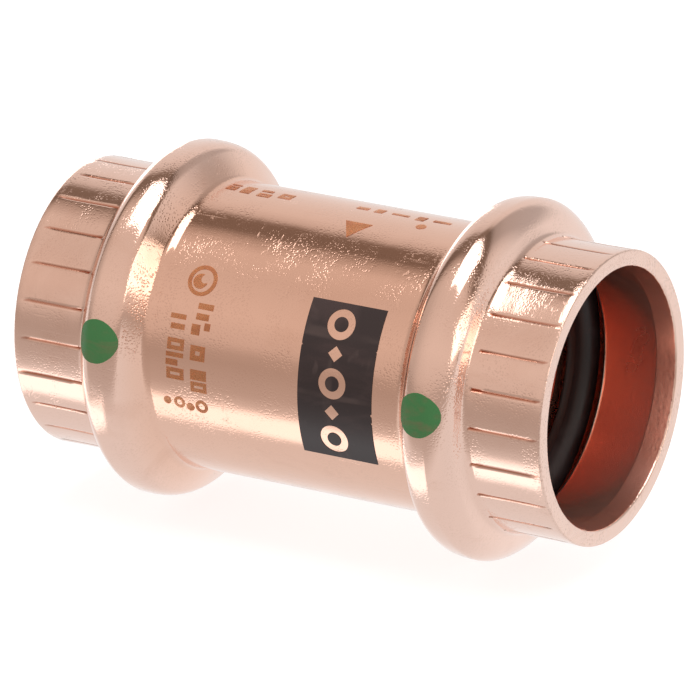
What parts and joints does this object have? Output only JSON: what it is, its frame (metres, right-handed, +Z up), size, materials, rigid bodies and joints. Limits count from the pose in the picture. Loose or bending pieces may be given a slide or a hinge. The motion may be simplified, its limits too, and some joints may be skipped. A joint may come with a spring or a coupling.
{
  "type": "press coupling",
  "caption": "Equal straight press coupling for 15.9 mm copper tube: a formed copper sleeve whose raised bead at each end holds a black rubber sealing ring.",
  "frame": {"origin": "centre of the coupling, on its axis and midway between the rims", "axes": "+X along the coupling's axis, towards the right-hand mouth; +Z up; the printed panel and painted dots face -Y"},
  "size_m": [0.0382, 0.0234, 0.023],
  "materials": {
    "copper": "satin pinkish copper, darker red-brown and oxidised inside the bore",
    "seal_rubber": "smooth matt black rubber, lightly greased",
    "panel_ink": "semi-matt black ink film",
    "dot_paint": "semi-matt green paint film"
  },
  "bodies": {
    "root": {"coupling_body": "copper", "sealing_ring_left": "seal_rubber", "sealing_ring_right": "seal_rubber", "label_patch": "panel_ink", "marking_dot_left": "dot_paint", "marking_dot_right": "dot_paint"}
  },
  "joints": []
}
